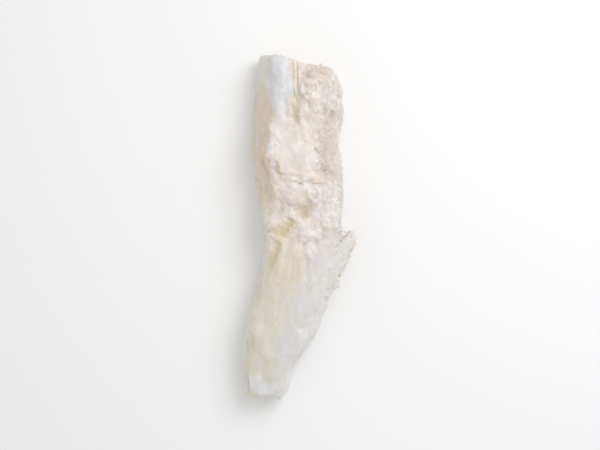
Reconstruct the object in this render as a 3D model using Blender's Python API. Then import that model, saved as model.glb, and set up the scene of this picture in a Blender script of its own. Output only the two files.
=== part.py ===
"""One strip of soaked salt cod, lying flat with its torn, flaky side up.

Metres, +Z up. The strip runs along Y, with its broad cut end at +Y and its slim end at -Y.
The origin is on the surface that it lies on, under the middle of its box.
"""

import math

import bmesh
import bpy
import numpy as np
from mathutils import Matrix, Vector, noise
from mathutils.bvhtree import BVHTree

MM = 0.001

# Driving dimensions. Every place and size in the tables below is in millimetres, in a frame
# whose Y runs along the strip.
RINGS = 84
SEGMENTS = 50
UNDERSIDE_SPACING = 2.2  # how much wider apart the points are on the side that it lies on

# The broad end's cut: how far it runs back for each metre to the right, how much further out its
# foot stands than its top, and how far its right corner is cut off, from where that starts as a
# share of the half width
CUT_SLOPE = -0.24
CUT_FOOT = 2.4
CORNER_CUT = 5.0
CORNER_START = 0.72

# Sections from the slim end to the broad end: place along Y, middle in X, half the width,
# height, and how far the left wall leans in as a share of the half width
SECTIONS = (
    (-79.0, -16.2, 8.8, 14.0, 0.00),
    (-65.0, -15.2, 10.8, 17.5, 0.04),
    (-53.0, -10.9, 15.0, 19.5, 0.06),
    (-41.0, -7.2, 16.5, 20.5, 0.08),
    (-28.0, -3.4, 16.6, 21.5, 0.09),
    (-8.0, 0.6, 16.8, 22.0, 0.10),
    (2.0, -0.4, 18.2, 23.0, 0.10),
    (20.0, -1.8, 19.6, 24.0, 0.16),
    (38.0, -4.6, 20.5, 23.5, 0.26),
    (57.0, -3.2, 21.6, 22.5, 0.34),
    (75.5, -2.7, 20.2, 21.5, 0.34),
)
SECTION_SQUARENESS = 3.4
END_SQUARENESS = 36.0
END_ROUNDING = 15.0

# Relief on the upper side
RIDGE = {"start": (-11.2, 84), "end": (-10.0, 42), "half_width": 5.2, "height": 1.7}
CLEFT = {"start": (-3.9, 84), "end": (-3.4, 47), "half_width": 2.3, "depth": 1.7}
CREASES = (
    {"start": (-4.8, -0.2), "end": (-9.8, -5.8), "half_width": 2.7, "depth": 1.8},
    {"start": (-10.8, -11.5), "end": (-14.4, -20.0), "half_width": 1.8, "depth": 1.6},
    {"start": (15.0, 51.0), "end": (9.4, 37.0), "half_width": 2.2, "depth": 1.3},
    {"start": (9.4, 37.0), "end": (9.4, 22.0), "half_width": 1.6, "depth": 0.9},
    {"start": (-17.0, 28), "end": (-15.0, 8), "half_width": 1.8, "depth": 1.2},
    {"start": (0.6, 69.0), "end": (3.8, 66.6), "half_width": 1.6, "depth": 1.5},
)
PITS = (
    {"at": (4.8, 62.4), "radius": 1.9, "depth": 1.9},
    {"at": (7.2, 26.4), "radius": 1.5, "depth": 1.0},
    {"at": (0.6, 4.8), "radius": 3.4, "depth": 1.1},
    {"at": (-8.8, 5.6), "radius": 2.0, "depth": 0.8},
)

# Rounded lumps of torn flesh: middle, radii along and across, the way the first one points, height
LUMPS = (
    {"at": (-4.6, 12.6), "radii": (9.6, 5.6), "turn": -8, "height": 2.0},
    {"at": (5.9, 12.6), "radii": (4.4, 2.8), "turn": 80, "height": 1.6},
    {"at": (13.2, 4.0), "radii": (8.6, 5.6), "turn": 78, "height": 1.7},
    {"at": (-15.6, -1.4), "radii": (4.6, 3.8), "turn": 35, "height": 1.6},
    {"at": (-11.6, 18.5), "radii": (5.0, 3.6), "turn": 60, "height": 1.1},
    {"at": (12.8, 30.0), "radii": (8.0, 4.4), "turn": 85, "height": 1.2},
    {"at": (8.5, 62.0), "radii": (11.0, 8.0), "turn": 75, "height": 1.5},
    {"at": (4.0, -6.1), "radii": (2.9, 2.6), "turn": 0, "height": 1.4},
    {"at": (3.4, -13.2), "radii": (4.6, 2.3), "turn": 84, "height": 1.2},
    {"at": (-2.6, -12.0), "radii": (7.0, 3.6), "turn": 70, "height": 0.8},
)

# Overlapping sheets: the middle of the free edge, the way that edge faces, the length back to
# where the sheet sinks in, its width, its height at the edge, and how far the edge bows out
SHEETS = (
    {"edge": (-6.5, 21.5), "faces": -118, "length": 20, "width": 34, "height": 2.5, "bow": 6.4},
    {"edge": (5.0, 49.0), "faces": -96, "length": 15, "width": 15, "height": 1.2, "bow": 1.6},
    {"edge": (8.0, -6.0), "faces": -62, "length": 13, "width": 15, "height": 1.2, "bow": 3.4},
    {"edge": (-17.5, -5.0), "faces": -150, "length": 9, "width": 11, "height": 1.5, "bow": 2.5},
    {"edge": (16.0, 13.0), "faces": -35, "length": 12, "width": 13, "height": 1.1, "bow": 2.5},
    {"edge": (14.5, 37.0), "faces": -50, "length": 14, "width": 12, "height": 1.3, "bow": 2.6},
    {"edge": (16.0, 61.0), "faces": 8, "length": 11, "width": 18, "height": 1.0, "bow": 2.0},
    {"edge": (0.5, -58.0), "faces": -28, "length": 10, "width": 13, "height": 1.0, "bow": 2.2},
    {"edge": (-22.5, -52.0), "faces": 196, "length": 8, "width": 26, "height": 0.8, "bow": 1.8},
)

# Free flakes: the side that each lies on, its root and tip as seen from there (X and Y from the
# top, Y and Z from a side), width, thickness at the root, how far the tip lifts off what it lies
# on, how far a tip beside the body hangs, and how much narrower than the root the tip is
FLAKES = (
    ("top", (7.8, -33), (23.6, -4.6), 12.4, 9, 0.3, 2.0, 0.3),
    ("top", (13.0, -13.0), (16.4, -31.8), 7.0, 5, 0.2, 3, 0.4),
    ("top", (-6.0, 35), (-15.0, 26), 14, 3.2, 0.7, 2, 0.3),
    ("top", (-1.0, 33), (-4.4, 19), 14, 3.2, 0.9, 2, 0.3),
    ("top", (-5.0, 9), (-17.6, 2.5), 15, 5.0, 0.3, 4, 0.1),
    ("top", (9.0, 2), (17.2, -10), 12, 4.4, 0.4, 3, 0.3),
    ("top", (8.0, 48), (16.2, 36), 13, 3.4, 0.7, 3, 0.3),
    ("top", (8.0, 56), (16.8, 65), 17, 5.5, 0.4, 4, 0.2),
    ("top", (9.0, 21), (19.0, 15), 17, 6.0, 0.4, 4, 0.1),
    ("top", (-15.0, -58), (-21.6, -80.6), 12, 9, 0.2, 6, 0.4),
    ("top", (-10.5, -58), (-11.6, -81.2), 12, 9, 0.2, 5, 0.5),
    ("right", (42, 12), (58, 9), 11, 4, 0.9, 0, 0.4),
    ("right", (28, 9), (11, 7), 10, 4, 1.0, 0, 0.4),
    ("right", (-36, 11), (-54, 8), 9, 4, 0.9, 0, 0.5),
    ("left", (6, 13), (22, 10), 10, 4, 0.9, 0, 0.4),
    ("left", (-10, 10), (-28, 8), 11, 4, 1.0, 0, 0.4),
    ("left", (-56, 12), (-40, 9), 9, 4, 0.9, 0, 0.4),
)
FLAKE_SEGMENTS = 12
FLAKE_RINGS = 9
LOWEST_FLAKE = 1.2
REST_BAND = 1.1  # what ends lower than this on the underside is pressed flat
SHORTEST_EDGE = 0.02  # what the joined flakes leave below this is closed up

LOOKS_FROM = {"top": Vector((0, 0, 1)), "right": Vector((1, 0, 0)), "left": Vector((-1, 0, 0))}
RAY_START = 100 * MM


def clear_scene():
    for old in list(bpy.data.objects):
        bpy.data.objects.remove(old, do_unlink=True)


def smooth_step(edge0, edge1, value):
    share = min(1.0, max(0.0, (value - edge0) / (edge1 - edge0)))
    return share * share * (3 - 2 * share)


def through_points(knots, values, where):
    """A Catmull-Rom curve through the values, read at one place."""
    last = len(knots) - 1
    i = max(0, min(last - 1, int(np.searchsorted(knots, where)) - 1))
    t = min(1.0, max(0.0, (where - knots[i]) / (knots[i + 1] - knots[i])))
    before, after = values[max(0, i - 1)], values[min(last, i + 2)]
    here, there = values[i], values[i + 1]
    return 0.5 * (
        2 * here
        + (there - before) * t
        + (2 * before - 5 * here + 4 * there - after) * t * t
        + (3 * here - before - 3 * there + after) * t**3
    )


def section_at(place):
    """Middle, half width, height and lean of the strip at a place along Y, in mm."""
    knots = [row[0] for row in SECTIONS]
    return [
        through_points(knots, [row[column] for row in SECTIONS], place) for column in (1, 2, 3, 4)
    ]


def spaced_superellipse(squareness, half_width, half_height, start, turn, count, low_spacing=1):
    """Points of a superellipse's arc as (x, y) shares of its halves, evenly spaced along it,
    with low_spacing times wider gaps on its lowest side."""
    angles = np.linspace(start, start + turn, 4000)
    power = 2 / squareness
    x = np.sign(np.cos(angles)) * np.abs(np.cos(angles)) ** power
    y = np.sign(np.sin(angles)) * np.abs(np.sin(angles)) ** power
    steps = np.hypot(np.diff(x * half_width), np.diff(y * half_height))
    steps[y[1:] < -0.9] /= low_spacing
    run = np.concatenate([[0], np.cumsum(steps)])
    even = np.linspace(0, run[-1], count)
    return np.interp(even, run, x), np.interp(even, run, y)


def line_share(place, feature):
    """Distance in mm from a stroke between two points, and the share along it."""
    start, end = Vector(feature["start"]), Vector(feature["end"])
    along = end - start
    share = min(1.0, max(0.0, (place - start).dot(along) / along.length_squared))
    return (place - start - along * share).length, share


def wander(place, size, seed):
    """Smooth noise from -1 to 1 whose lumps are about size across, in the place's own unit."""
    shift = Vector((seed * 7.3, seed * 3.1, seed * 5.7))
    return noise.noise(place.to_3d() / size + shift)


def sheet_height(place, sheet, number):
    """How far one overlapping sheet stands above what it lies on."""
    angle = math.radians(sheet["faces"])
    facing = Vector((math.cos(angle), math.sin(angle)))
    offset = place - Vector(sheet["edge"])
    ahead = offset.dot(facing)
    aside = offset.dot(facing.orthogonal()) / (sheet["width"] / 2)
    edge = -sheet["bow"] * aside * aside + 1.6 * wander(place, 5, 30 + number)
    inside = 1 - smooth_step(-0.8, 0.9, ahead - edge)
    rise = 0.25 + 0.75 * smooth_step(-sheet["length"], 0, ahead)
    rise *= smooth_step(-1.0, -0.55, ahead / sheet["length"])
    return sheet["height"] * inside * rise * (1 - smooth_step(0.75, 1.1, abs(aside)))


def lump_height(place, lump):
    """How far one rounded lump stands above what is round it."""
    offset = Matrix.Rotation(-math.radians(lump["turn"]), 2) @ (place - Vector(lump["at"]))
    reach = math.hypot(offset.x / lump["radii"][0], offset.y / lump["radii"][1])
    return lump["height"] * math.sqrt(max(0.0, 1 - reach * reach))


def top_relief(point):
    """Height in mm that the torn upper side stands above the plain loft."""
    flat = point.to_2d()
    place = flat + 1.1 * Vector((wander(flat, 5, 1), wander(flat, 5, 2)))
    away, share = line_share(place, RIDGE)
    crest = 1 - smooth_step(0.3, 1.0, away / RIDGE["half_width"] / (1 - 0.35 * share))
    height = RIDGE["height"] * crest * (1 - smooth_step(0.7, 1.0, share))
    away, share = line_share(place, CLEFT)
    opened = smooth_step(0.25, 0.8, share)
    cut = 1 - smooth_step(0.0, 1.0, away / CLEFT["half_width"] / (0.6 + 0.5 * opened))
    height -= CLEFT["depth"] * cut * (0.5 + 0.5 * opened)
    for crease in CREASES:
        away, share = line_share(place, crease)
        height -= crease["depth"] * (1 - smooth_step(0.0, 1.0, away / crease["half_width"]))
    for pit in PITS:
        away = (place - Vector(pit["at"])).length / pit["radius"]
        height -= pit["depth"] * (1 - smooth_step(0.1, 1.2, away))
    height += sum(lump_height(place, lump) for lump in LUMPS)
    return height + sum(sheet_height(place, sheet, i) for i, sheet in enumerate(SHEETS))


def crag_relief(point, upright):
    """Height in mm of the lumps, and of the fibre bundles that run along the strip."""
    torn = smooth_step(-30, -4, point.y)
    along = Vector((point.x, point.y * 0.2, point.z))
    lumps = 1.0 * wander(point, 9, 11) + 0.8 * torn * wander(point, 4.4, 12)
    bundles = (0.45 - abs(wander(along, 3.6, 13))) * (1.4 - 0.6 * torn + 1.6 * upright)
    return (0.4 + 0.6 * torn) * lumps + bundles


def calmness(point, normal):
    """Share of the crags that the knife's cut and the smooth left wall go without."""
    cut = smooth_step(0.5, 0.9, normal.y)
    wall = smooth_step(0.3, 0.7, -normal.x) * smooth_step(20, 34, point.y)
    return 0.65 * max(cut, wall)


def make_core():
    """The strip's solid body: a sphere grid laid over the loft, then raised by its relief."""
    round_x, round_y = spaced_superellipse(
        SECTION_SQUARENESS, 18, 11.5, 0, -2 * math.pi, SEGMENTS + 1, UNDERSIDE_SPACING
    )
    slim_end, broad_end = SECTIONS[0][0], SECTIONS[-1][0]
    middle_y, half_length = (slim_end + broad_end) / 2, (broad_end - slim_end) / 2
    reach, travel = spaced_superellipse(
        END_SQUARENESS, END_ROUNDING, half_length, -math.pi / 2, math.pi, RINGS + 1
    )
    grid = bmesh.new()
    bmesh.ops.create_uvsphere(grid, u_segments=SEGMENTS, v_segments=RINGS, radius=1)
    for vertex in grid.verts:
        ring = round((math.asin(max(-1, min(1, vertex.co.z))) / math.pi + 0.5) * RINGS)
        turn = round(math.atan2(vertex.co.y, vertex.co.x) / (2 * math.pi) * SEGMENTS) % SEGMENTS
        place = middle_y + travel[ring] * half_length
        middle, half_width, tall, lean = section_at(place)
        high = 0.5 + 0.5 * round_y[turn] * reach[ring]
        side = round_x[turn] * reach[ring]
        if side < 0:
            side *= 1 - lean * high
        slant = CUT_SLOPE * side * half_width - CORNER_CUT * smooth_step(CORNER_START, 1.05, side)
        slant += CUT_FOOT * (1 - high)
        slant *= smooth_step(45, broad_end, place)
        vertex.co = Vector((middle + side * half_width, place + slant, high * tall))
    grid.normal_update()
    raised = []
    for vertex in grid.verts:
        lift = crag_relief(vertex.co, 1 - abs(vertex.normal.z))
        lift *= 1 - calmness(vertex.co, vertex.normal)
        lift += top_relief(vertex.co) * smooth_step(0.15, 0.75, vertex.normal.z)
        point = vertex.co + vertex.normal * lift
        if vertex.normal.z < -0.3 and point.z < REST_BAND:
            point.z = 0.0
        point.z = max(0.0, point.z)
        raised.append(point * MM)
    for vertex, point in zip(grid.verts, raised):
        vertex.co = point
    mesh = bpy.data.meshes.new("core")
    grid.to_mesh(mesh)
    grid.free()
    return mesh


def landing(tree, side, place):
    """Where a ray from one side meets the body, with the surface's normal there."""
    across, up = (value * MM for value in place)
    start = LOOKS_FROM[side] * RAY_START
    start += Vector((across, up, 0)) if side == "top" else Vector((0, across, up))
    spot, normal, _, _ = tree.ray_cast(start, -LOOKS_FROM[side])
    return spot, normal


def make_flake(tree, flake, number):
    """A leaf of muscle, thick where it is rooted in the body and thin at its free, lobed tip."""
    side, root_place, tip_place, width, thick, lift, hang, taper = flake
    root, normal = landing(tree, side, root_place)
    tip, _ = landing(tree, side, tip_place)
    outward = (LOOKS_FROM[side] + 0.35 * normal).normalized()
    root = root / MM - outward * thick * 0.5
    tip = Vector((*tip_place, root.z - hang)) if tip is None else tip / MM
    heading = tip + outward * lift - root
    length = heading.length
    heading.normalize()
    sideways = outward.cross(heading).normalized()
    outward = heading.cross(sideways)
    leaf = bmesh.new()
    bmesh.ops.create_uvsphere(leaf, u_segments=FLAKE_SEGMENTS, v_segments=FLAKE_RINGS, radius=1)
    for vertex in leaf.verts:
        above, along = vertex.co.y, (vertex.co.z + 1) / 2
        blunt = max(0.2, math.hypot(vertex.co.x, vertex.co.y)) ** -0.45
        aside = vertex.co.x * blunt
        lobes = 0.18 * wander(Vector((aside * 1.7, number)), 1, 21)
        forward = along * (1 + lobes * smooth_step(0.4, 1.0, along)) * length
        narrow = 1 - taper * smooth_step(0.15, 1.0, along)
        thin = 1 - 0.66 * smooth_step(0.1, 1.0, along)
        arch = lift * (along * along - along) - 0.12 * width * aside * aside
        point = (
            root
            + heading * forward
            + sideways * (aside * width / 2 * narrow)
            + outward * (above * thick / 2 * thin + arch)
        )
        point.z = max(point.z, LOWEST_FLAKE)
        vertex.co = point * MM
    mesh = bpy.data.meshes.new(f"flake_{number:02d}")
    leaf.to_mesh(mesh)
    leaf.free()
    return bpy.data.objects.new(f"flake_{number:02d}", mesh)


def keep_outer_shell(mesh):
    """Drops loose scraps and the walls of hollows that the joined flakes have sealed."""
    shell = bmesh.new()
    shell.from_mesh(mesh)
    waiting = set(shell.verts)
    islands = []
    while waiting:
        island = {waiting.pop()}
        edge_of = list(island)
        while edge_of:
            vertex = edge_of.pop()
            for edge in vertex.link_edges:
                other = edge.other_vert(vertex)
                if other in waiting:
                    waiting.discard(other)
                    island.add(other)
                    edge_of.append(other)
        islands.append(island)
    largest = max(islands, key=len)
    bmesh.ops.delete(shell, geom=[v for v in shell.verts if v not in largest], context="VERTS")
    bmesh.ops.dissolve_degenerate(shell, edges=shell.edges[:], dist=SHORTEST_EDGE * MM)
    shell.to_mesh(mesh)
    shell.free()


def flesh_material():
    material = bpy.data.materials.new("soaked_cod_flesh")
    material.use_nodes = True
    shader = material.node_tree.nodes["Principled BSDF"]
    shader.inputs["Base Color"].default_value = (0.74, 0.68, 0.58, 1)
    shader.inputs["Roughness"].default_value = 0.42
    shader.inputs["Metallic"].default_value = 0.0
    return material


def settle_on_box_centre(mesh):
    """Moves the mesh so that the origin is under the middle of its box, on the surface below."""
    points = np.array([vertex.co for vertex in mesh.vertices])
    low, high = points.min(axis=0), points.max(axis=0)
    middle = (low + high) / 2
    mesh.transform(Matrix.Translation((-middle[0], -middle[1], -low[2])))


def build_strip():
    strips = bpy.data.collections.new("soaked_cod_strip")
    torn = bpy.data.collections.new("torn_flakes")
    for made in (strips, torn):
        bpy.context.scene.collection.children.link(made)
    core_mesh = make_core()
    core = bpy.data.objects.new("cod_strip", core_mesh)
    strips.objects.link(core)
    surface = bmesh.new()
    surface.from_mesh(core_mesh)
    tree = BVHTree.FromBMesh(surface)
    surface.free()
    for number, flake in enumerate(FLAKES):
        torn.objects.link(make_flake(tree, flake, number))
    join = core.modifiers.new("join_flakes", "BOOLEAN")
    join.operation = "UNION"
    join.operand_type = "COLLECTION"
    join.collection = torn
    join.solver = "MANIFOLD"
    bpy.context.view_layer.update()
    seen = core.evaluated_get(bpy.context.evaluated_depsgraph_get())
    joined = bpy.data.meshes.new_from_object(seen)
    core.modifiers.clear()
    core.data = joined
    for sheet in list(torn.objects):
        bpy.data.objects.remove(sheet, do_unlink=True)
    bpy.data.collections.remove(torn)
    keep_outer_shell(joined)
    settle_on_box_centre(joined)
    joined.materials.clear()
    joined.materials.append(flesh_material())
    joined.shade_smooth()
    return core


clear_scene()
build_strip()
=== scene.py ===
# A strip of soaked cod: wet, milky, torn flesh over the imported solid, seen from above.
import math
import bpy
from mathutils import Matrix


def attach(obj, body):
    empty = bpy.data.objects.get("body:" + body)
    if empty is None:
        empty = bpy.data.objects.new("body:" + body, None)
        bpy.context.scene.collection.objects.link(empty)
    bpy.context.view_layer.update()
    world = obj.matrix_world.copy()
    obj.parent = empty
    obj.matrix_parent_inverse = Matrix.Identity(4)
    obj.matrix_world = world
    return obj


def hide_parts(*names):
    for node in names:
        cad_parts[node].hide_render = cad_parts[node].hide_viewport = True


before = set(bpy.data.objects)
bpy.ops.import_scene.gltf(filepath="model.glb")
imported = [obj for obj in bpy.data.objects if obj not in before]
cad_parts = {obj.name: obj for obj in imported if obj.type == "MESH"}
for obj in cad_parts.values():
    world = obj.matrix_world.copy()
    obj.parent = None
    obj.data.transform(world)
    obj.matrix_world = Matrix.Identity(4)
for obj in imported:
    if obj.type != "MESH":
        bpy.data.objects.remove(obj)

from types import SimpleNamespace

import bpy
import numpy as np
from mathutils import Vector, noise
from mathutils.bvhtree import BVHTree

scene = bpy.context.scene
mm = 0.001
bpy.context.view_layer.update()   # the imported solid's own box

# Places below are in millimetres in the strip's own layout, whose zero is here in the frame
layoutZero = np.array((0.90, 0.19, 0.0))


def srgb(red, green, blue):
    # a colour as it is seen on screen, turned linear
    return tuple((value / 255) ** 2.2 for value in (red, green, blue))


def ramp(low, high, values):
    # 0 at low and 1 at high, eased between them
    share = np.clip((values - low) / (high - low), 0, 1)
    return share * share * (3 - 2 * share)


def bell(middle, spread, values):
    # 1 at the middle, falling away on both sides
    return np.exp(-((values - middle) / spread) ** 2)


def moved(points, size, seed, stretch):
    # where noise of that size is read, in a part of it that no other seed uses
    return points / (np.array(stretch) * size) + seed * np.array((7.3, 3.1, 5.7))


def noiseAt(points, size, seed, stretch=(1, 1, 1)):
    # smooth noise, about -0.9 to 0.9, with lumps of that size in millimetres
    return np.fromiter(map(noise.noise, moved(points, size, seed, stretch).tolist()), float, len(points))


def roughAt(points, size, seed, stretch=(1, 1, 1), layers=4):
    # noise with finer noise on it, about -1.2 to 1.2
    places = moved(points, size, seed, stretch).tolist()
    return np.fromiter((noise.fractal(place, 0.8, 2.1, layers) for place in places), float, len(points))


def grainsAt(points, size, seed, stretch=(1, 1, 1)):
    # grains packed side by side: how far each point is from its grain's middle, and the grain's size
    away, level = np.empty(len(points)), np.empty(len(points))
    for i, place in enumerate(moved(points, size, seed, stretch).tolist()):
        distances, middles = noise.voronoi(place)
        away[i] = distances[0]
        level[i] = noise.cell_vector(middles[0]).x
    return away, level


def table(names, *rows):
    # one dictionary for each row, by the names of its columns
    return [dict(zip(names.split(), row)) for row in rows]


# The strip's main shapes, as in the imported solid
midline = {"y": (-79, -65, -53, -41, -28, -8, 2, 20, 38, 57, 75.5),
           "x": (-16.2, -15.2, -10.9, -7.2, -3.4, 0.6, -0.4, -1.8, -4.6, -3.2, -2.7)}
midlineCurve = np.polyfit(midline["y"], midline["x"], 6)
midlineSlope = np.polyder(midlineCurve)

ridge = {"start": (-11.2, 84), "end": (-9.4, 37), "halfWidth": 3.7, "bulge": 2.0, "bulgeAt": 64}
cleft = {"start": (-3.9, 84), "end": (-3.6, 50.5), "halfWidth": 2.4, "opensAt": 63.5}
creases = table(
    "start end halfWidth",
    ((-4.8, -0.2), (-9.8, -5.8), 2.7),
    ((-10.8, -11.5), (-14.4, -20), 1.8),
)

# Sheets of flesh that overlap: the middle of each free edge, the way it faces, and how crisp it shows
sheets = table(
    "edge faces length width height bow crisp seed",
    ((-6.5, 21.5), -118, 20, 34, 2.5, 6.4, 0.38, 30),
    ((5, 49), -96, 15, 15, 1.2, 1.6, 0.3, 31),
    ((8, -6), -62, 13, 15, 1.2, 3.4, 0.3, 32),
    ((-17.5, -5), -150, 9, 11, 1.5, 2.5, 0.3, 33),
    ((16, 13), -35, 12, 13, 1.1, 2.5, 0.5, 34),
    ((14.5, 37), -50, 14, 12, 1.3, 2.6, 0.3, 35),
    ((16, 61), 8, 11, 18, 1, 2, 0.3, 36),
    ((0.5, -58), -28, 10, 13, 1, 2.2, 0.2, 37),
    ((-22.5, -52), 196, 8, 26, 0.8, 1.8, 0, 38),
)

# Soft forms that the solid is too coarse for, each with the tint that it takes. The membrane tint carries a
# painted reflection of the sky, and the forms noted below hold painted highlight or painted shade
softForms = table(
    "at halves turn height tint share",
    ((0.3, 61.6), (1.4, 2.6), 0, 0.8, "cool", 0.9),
    ((6.4, 58.2), (2.6, 2), 20, 0.5, "milk", 0.7),
    ((2.4, 57.6), (1.6, 1.4), 0, 0.45, "snow", 0.7),
    ((1.6, 53.4), (2, 1.9), 0, 0.5, "milk", 0.7),
    ((7.2, 51.8), (3, 1.9), -10, 0.5, "milk", 0.7),
    ((13.9, 55), (3.8, 4.6), 20, 1, "lilac", 0.5),
    ((14.4, 62), (3.6, 9), 0, 0.2, "membrane", 0.5),
    ((9, 54), (8, 10), 0, 0, "lilac", 0.6),
    ((-8, 37), (7, 8), 0, 0, "lilac", 0.6),
    ((0, 27), (9, 6), -15, 0, "lilac", 0.6),
    ((-3, 12), (9, 5), 0, 0, "lilac", 0.5),
    ((-13.8, 35.2), (2.8, 2), 20, 0.8, "membrane", 0.8),
    ((-14.6, 30.8), (1.7, 2.6), -15, 0.5, "milk", 0.7),
    ((-2, 17), (9, 3.4), -22, 0.8, "pink", 0.4),
    ((0.9, 19), (2.2, 1.3), 0, 0.5, "cool", 0.9),
    ((6.1, 18.4), (2.4, 1.9), 0, 0.3, "rose", 0.9),
    ((-16.2, -1.4), (2.6, 3), 20, 0.5, "rose", 0.6),
    ((0.6, -7.5), (2.4, 3.6), 0, 0.9, "milk", 0.5),
    # painted shade under the broad flake's lower-left edge, brown
    ((-18, 28.6), (2.8, 4.6), -10, 0, "brown", 0.8),
    # a low raised lobe painted nearly white: partly its own white and partly a painted highlight
    ((4, -6.1), (2.9, 2.6), 0, 0.2, "snow", 0.9),
    ((3.3, -13.2), (2.2, 4.8), -6, 0.1, "snow", 0.7),
    ((23, -6), (3.2, 3.4), 0, 0.2, "membrane", 0.7),
    # painted highlight: bluish white patches on the slim end, over low bumps
    ((-22.2, -72.4), (4.6, 3.4), 30, 0.25, "frost", 0.8),
    ((-18, -76.4), (4.2, 3.2), 10, 0.3, "frost", 0.9),
    # painted highlight: a pale line along the lower left edge, on a low raised rim
    ((-26.6, -58.5), (1.6, 8), 0, 0.2, "milk", 0.7),
    ((-21.5, -49), (5, 3), 10, 0.15, "milk", 0.4),
    ((-12, 47), (3, 10), 0, 0, "cool", 0.5),
    # darker brown along the ridge's left side: partly the wall's tone and partly painted shade, over a
    # shallow groove
    ((-15.6, 51), (1.8, 8.5), 0, -0.2, "brown", 0.7),
    ((14, 51.6), (3.6, 3), 0, 0.6, "dusk", 0.4),
    # a shallow pocket under the broad flake's edge, yellow: partly its own tone and partly painted shade
    ((-9.6, 20.8), (2.2, 2.6), 0, -0.3, "yellow", 0.7),
    ((14, 49.4), (5.2, 4.6), 20, 0, "tan", 0.6),
    ((-3.6, 47), (2.8, 3.4), 0, 0, "rose", 0.7),
    ((0.4, 4.4), (4.2, 3.2), 25, -0.2, "tan", 0.85),
    ((-8.8, 5.6), (1.9, 1.9), 0, -0.2, "tan", 0.6),
    # painted shadow in a notch near the cut end, diagonal, over a shallow dip
    ((1.9, 68), (2.8, 1.3), -38, -0.2, "tan", 0.9),
    ((4.7, 62.5), (1.6, 2), 0, 0.9, "cream", 0.9),
    ((8, 73), (9, 3.4), -14, 0, "olive", 0.6),
    ((-5.5, -19), (7, 15), -12, 0, "cream", 0.7),
    ((10.5, -22), (7, 19), -16, 0, "lilac", 0.8),
    ((-3, 72), (3, 5.5), 0, 0.3, "tan", 0.35),
    ((12.2, 36), (4.4, 16), 2, 0, "dusk", 0.85),
    ((10, 23), (6, 4), -10, 0, "dusk", 0.7),
    # painted shade under the broad flake's edge, a darker dusk
    ((-6.7, 19.6), (5.5, 2.6), -10, 0, "dusk", 0.65),
    ((15.6, 70), (7, 2.6), -24, 0, "cool", 0.6),
)

# The broad flake in the middle is flatter than the rest
flatFlake = {"at": (-1.5, 29.5), "halves": (11.5, 9.0), "turn": -15}

# Folds that stand up, and slits where the height is below nothing
folds = table(
    "start end halfWidth height tint straight",
    ((-11.2, 10.6), (-6.2, 5.4), 0.7, 0.5, "cream"),
    ((3.2, 11.2), (-4, 5.8), 0.7, 0.5, "cream"),
    ((-4.3, 6.2), (-4, 1.2), 0.9, 0.6, "snow"),
    ((-2.4, 1.2), (-6.7, -5.2), 0.6, 0.6, "cream"),
    ((-15.4, -4.6), (-10.6, -8.6), 0.7, 0.5, "milk"),
    ((-12.1, 36.4), (-11.7, 34.2), 0.5, -0.7, "cream"),
    ((7.5, 27.6), (7.3, 25.2), 0.5, -0.6, "cream"),
    ((6.6, 28.2), (8.3, 25.4), 0.6, 0.4, "snow"),
    ((1.2, -8.6), (1.2, -12.6), 0.5, -0.15, "cream"),
    ((-4.3, 75), (-4, 65), 0.45, -0.45, "tan", True),
    ((-2, 76), (-2.2, 63), 0.45, -0.4, "tan", True),
)
curls = table(
    "at halves turn halfWidth height",
    ((5.2, 62.4), (2, 2.7), 0, 0.7, 0.28),
    ((5.8, 12.8), (2.3, 3.2), 0, 0.8, 0.6),
)

# How the layout and the sheets' edges wander: only the fray isn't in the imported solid
wander = {"size": 5, "layout": 1.1, "edges": 1.6, "fraySize": 2.4, "fray": 0.5, "fraySeed": 40}


def layoutShift(flat):
    # how far the relief of a place is moved, so that no line of it runs straight
    shift = [noiseAt(flat, wander["size"], seed) for seed in (1, 2)]
    return wander["layout"] * np.stack(shift, axis=1)


def edgeShift(flat, sheet):
    # how far a sheet's free edge lies past its even curve
    even = wander["edges"] * noiseAt(flat, wander["size"], sheet["seed"])
    fray = roughAt(flat, wander["fraySize"], sheet["seed"] + wander["fraySeed"], layers=3)
    return even - wander["fray"] * fray


def atFloor(place):
    return np.column_stack([place, np.zeros(len(place))])


def facingOf(sheet):
    angle = math.radians(sheet["faces"])
    return np.array((math.cos(angle), math.sin(angle)))


def strokeShare(place, stroke):
    # distance in millimetres from a stroke, and the share along it
    start, end = np.array(stroke["start"]), np.array(stroke["end"])
    along = end - start
    share = np.clip((place - start) @ along / (along @ along), 0, 1)
    offset = place - start - share[:, None] * along
    return np.hypot(offset[:, 0], offset[:, 1]), share


def sheetEdge(place, sheet):
    # how far a place lies past a sheet's free edge, and how much of the sheet reaches it
    facing = facingOf(sheet)
    offset = place - sheet["edge"]
    ahead = offset @ facing
    aside = offset @ np.array((-facing[1], facing[0])) / (sheet["width"] / 2)
    past = ahead + sheet["bow"] * aside ** 2 - edgeShift(atFloor(place), sheet)
    reach = (1 - ramp(0.75, 1.1, abs(aside))) * ramp(-1.0, -0.55, ahead / sheet["length"])
    return past, reach


def roundShare(place, form):
    # 0 at a soft form's middle, 1 at its rim
    angle = math.radians(form["turn"])
    offset = place - form["at"]
    along = offset[:, 0] * math.cos(angle) + offset[:, 1] * math.sin(angle)
    across = offset[:, 1] * math.cos(angle) - offset[:, 0] * math.sin(angle)
    return np.hypot(along / form["halves"][0], across / form["halves"][1])


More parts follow.
